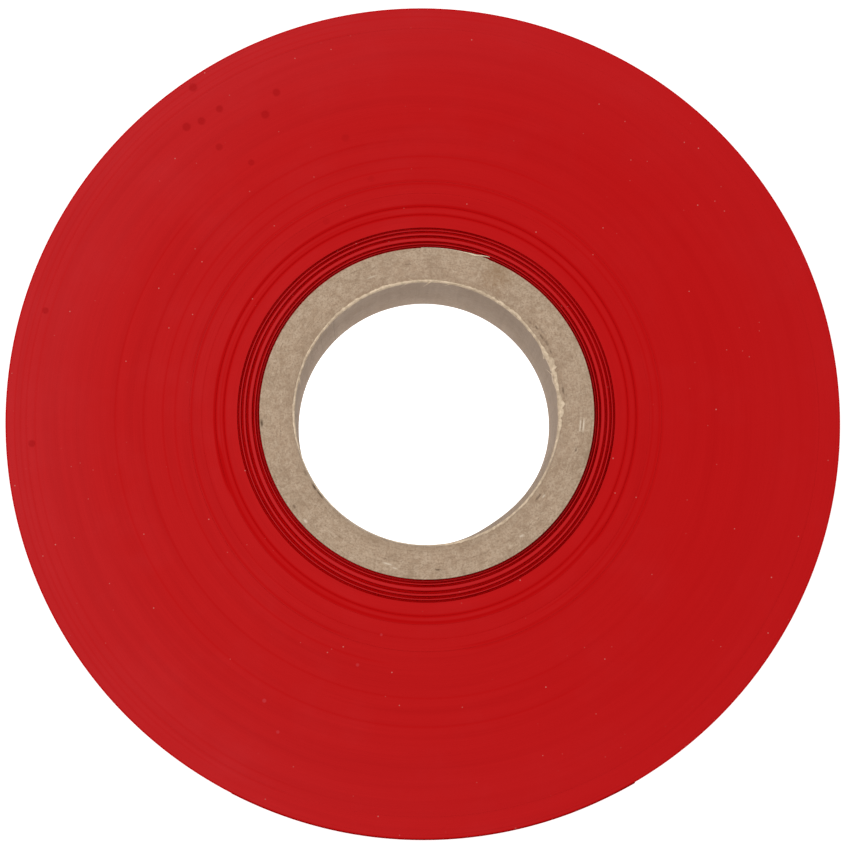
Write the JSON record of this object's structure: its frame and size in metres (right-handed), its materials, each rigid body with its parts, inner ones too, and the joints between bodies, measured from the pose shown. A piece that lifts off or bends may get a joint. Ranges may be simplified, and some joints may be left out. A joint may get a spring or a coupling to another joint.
{
  "type": "plastic film tape roll",
  "caption": "Large roll of plain red plastic film tape wound on a thick cardboard core, with loose inner turns, a free film end and a paper closing tab.",
  "frame": {"origin": "centre of the core's bore, at the lower end face on which the roll lies", "axes": "+Z along the core's axis, up through the roll's width; +X and +Y across the end face, where the free end of the film leaves the roll at 262 degrees from +X, counter-clockwise seen from above"},
  "size_m": [0.2406, 0.2408, 0.05],
  "materials": {
    "film": "satin",
    "core_board": "matt",
    "core_liner": "matt",
    "paper_tape": "matt"
  },
  "bodies": {
    "roll": {"core_liner": "core_liner", "core_ply_1": "core_board", "core_ply_2": "core_board", "core_ply_3": "core_board", "core_ply_4": "core_board", "core_ply_5": "core_board", "core_ply_6": "core_board", "core_ply_7": "core_board", "core_wrapper": "core_board", "starter_tape": "paper_tape", "film_sunken_turns_1": "film", "film_sunken_turns_2": "film", "film_sunken_turns_3": "film", "film_sunken_turns_4": "film", "film_sunken_turns_5": "film", "film_sunken_turns_6": "film", "film_level_turns_1": "film", "film_level_turns_2": "film", "film_level_turns_3": "film", "film_level_turns_4": "film", "film_level_turns_5": "film", "film_inner_turns": "film", "film_stepped_turns": "film", "film_ringed_turns": "film", "film_middle_turns": "film", "film_main_turns": "film", "film_outer_turns": "film", "film_last_turns": "film", "film_tail_lead_in": "film"},
    "tail_a": {"film_tail_1": "film"},
    "tail_b": {"film_tail_2": "film"},
    "tail_c": {"film_tail_3": "film"},
    "tail_d": {"film_tail_4": "film", "closing_tab": "paper_tape"}
  },
  "joints": [
    {"name": "film_peel", "type": "hinge", "parent": "roll", "child": "tail_a", "pos_m": [-0.01766, -0.12096, 0.025], "axis": [0, 0, -1], "range_deg": [0, 30]},
    {"name": "film_bend_1", "type": "hinge", "parent": "tail_a", "child": "tail_b", "pos_m": [0.00231, -0.12209, 0.025], "axis": [0, 0, -1], "range_deg": [0, 30]},
    {"name": "film_bend_2", "type": "hinge", "parent": "tail_b", "child": "tail_c", "pos_m": [0.02218, -0.1199, 0.025], "axis": [0, 0, -1], "range_deg": [0, 30]},
    {"name": "film_bend_3", "type": "hinge", "parent": "tail_c", "child": "tail_d", "pos_m": [0.04143, -0.11445, 0.025], "axis": [0, 0, -1], "range_deg": [0, 30]}
  ],
  "couplings": [
    {"joint": "film_bend_1", "follows": "film_peel", "ratio": 1},
    {"joint": "film_bend_2", "follows": "film_peel", "ratio": 1},
    {"joint": "film_bend_3", "follows": "film_peel", "ratio": 1}
  ]
}
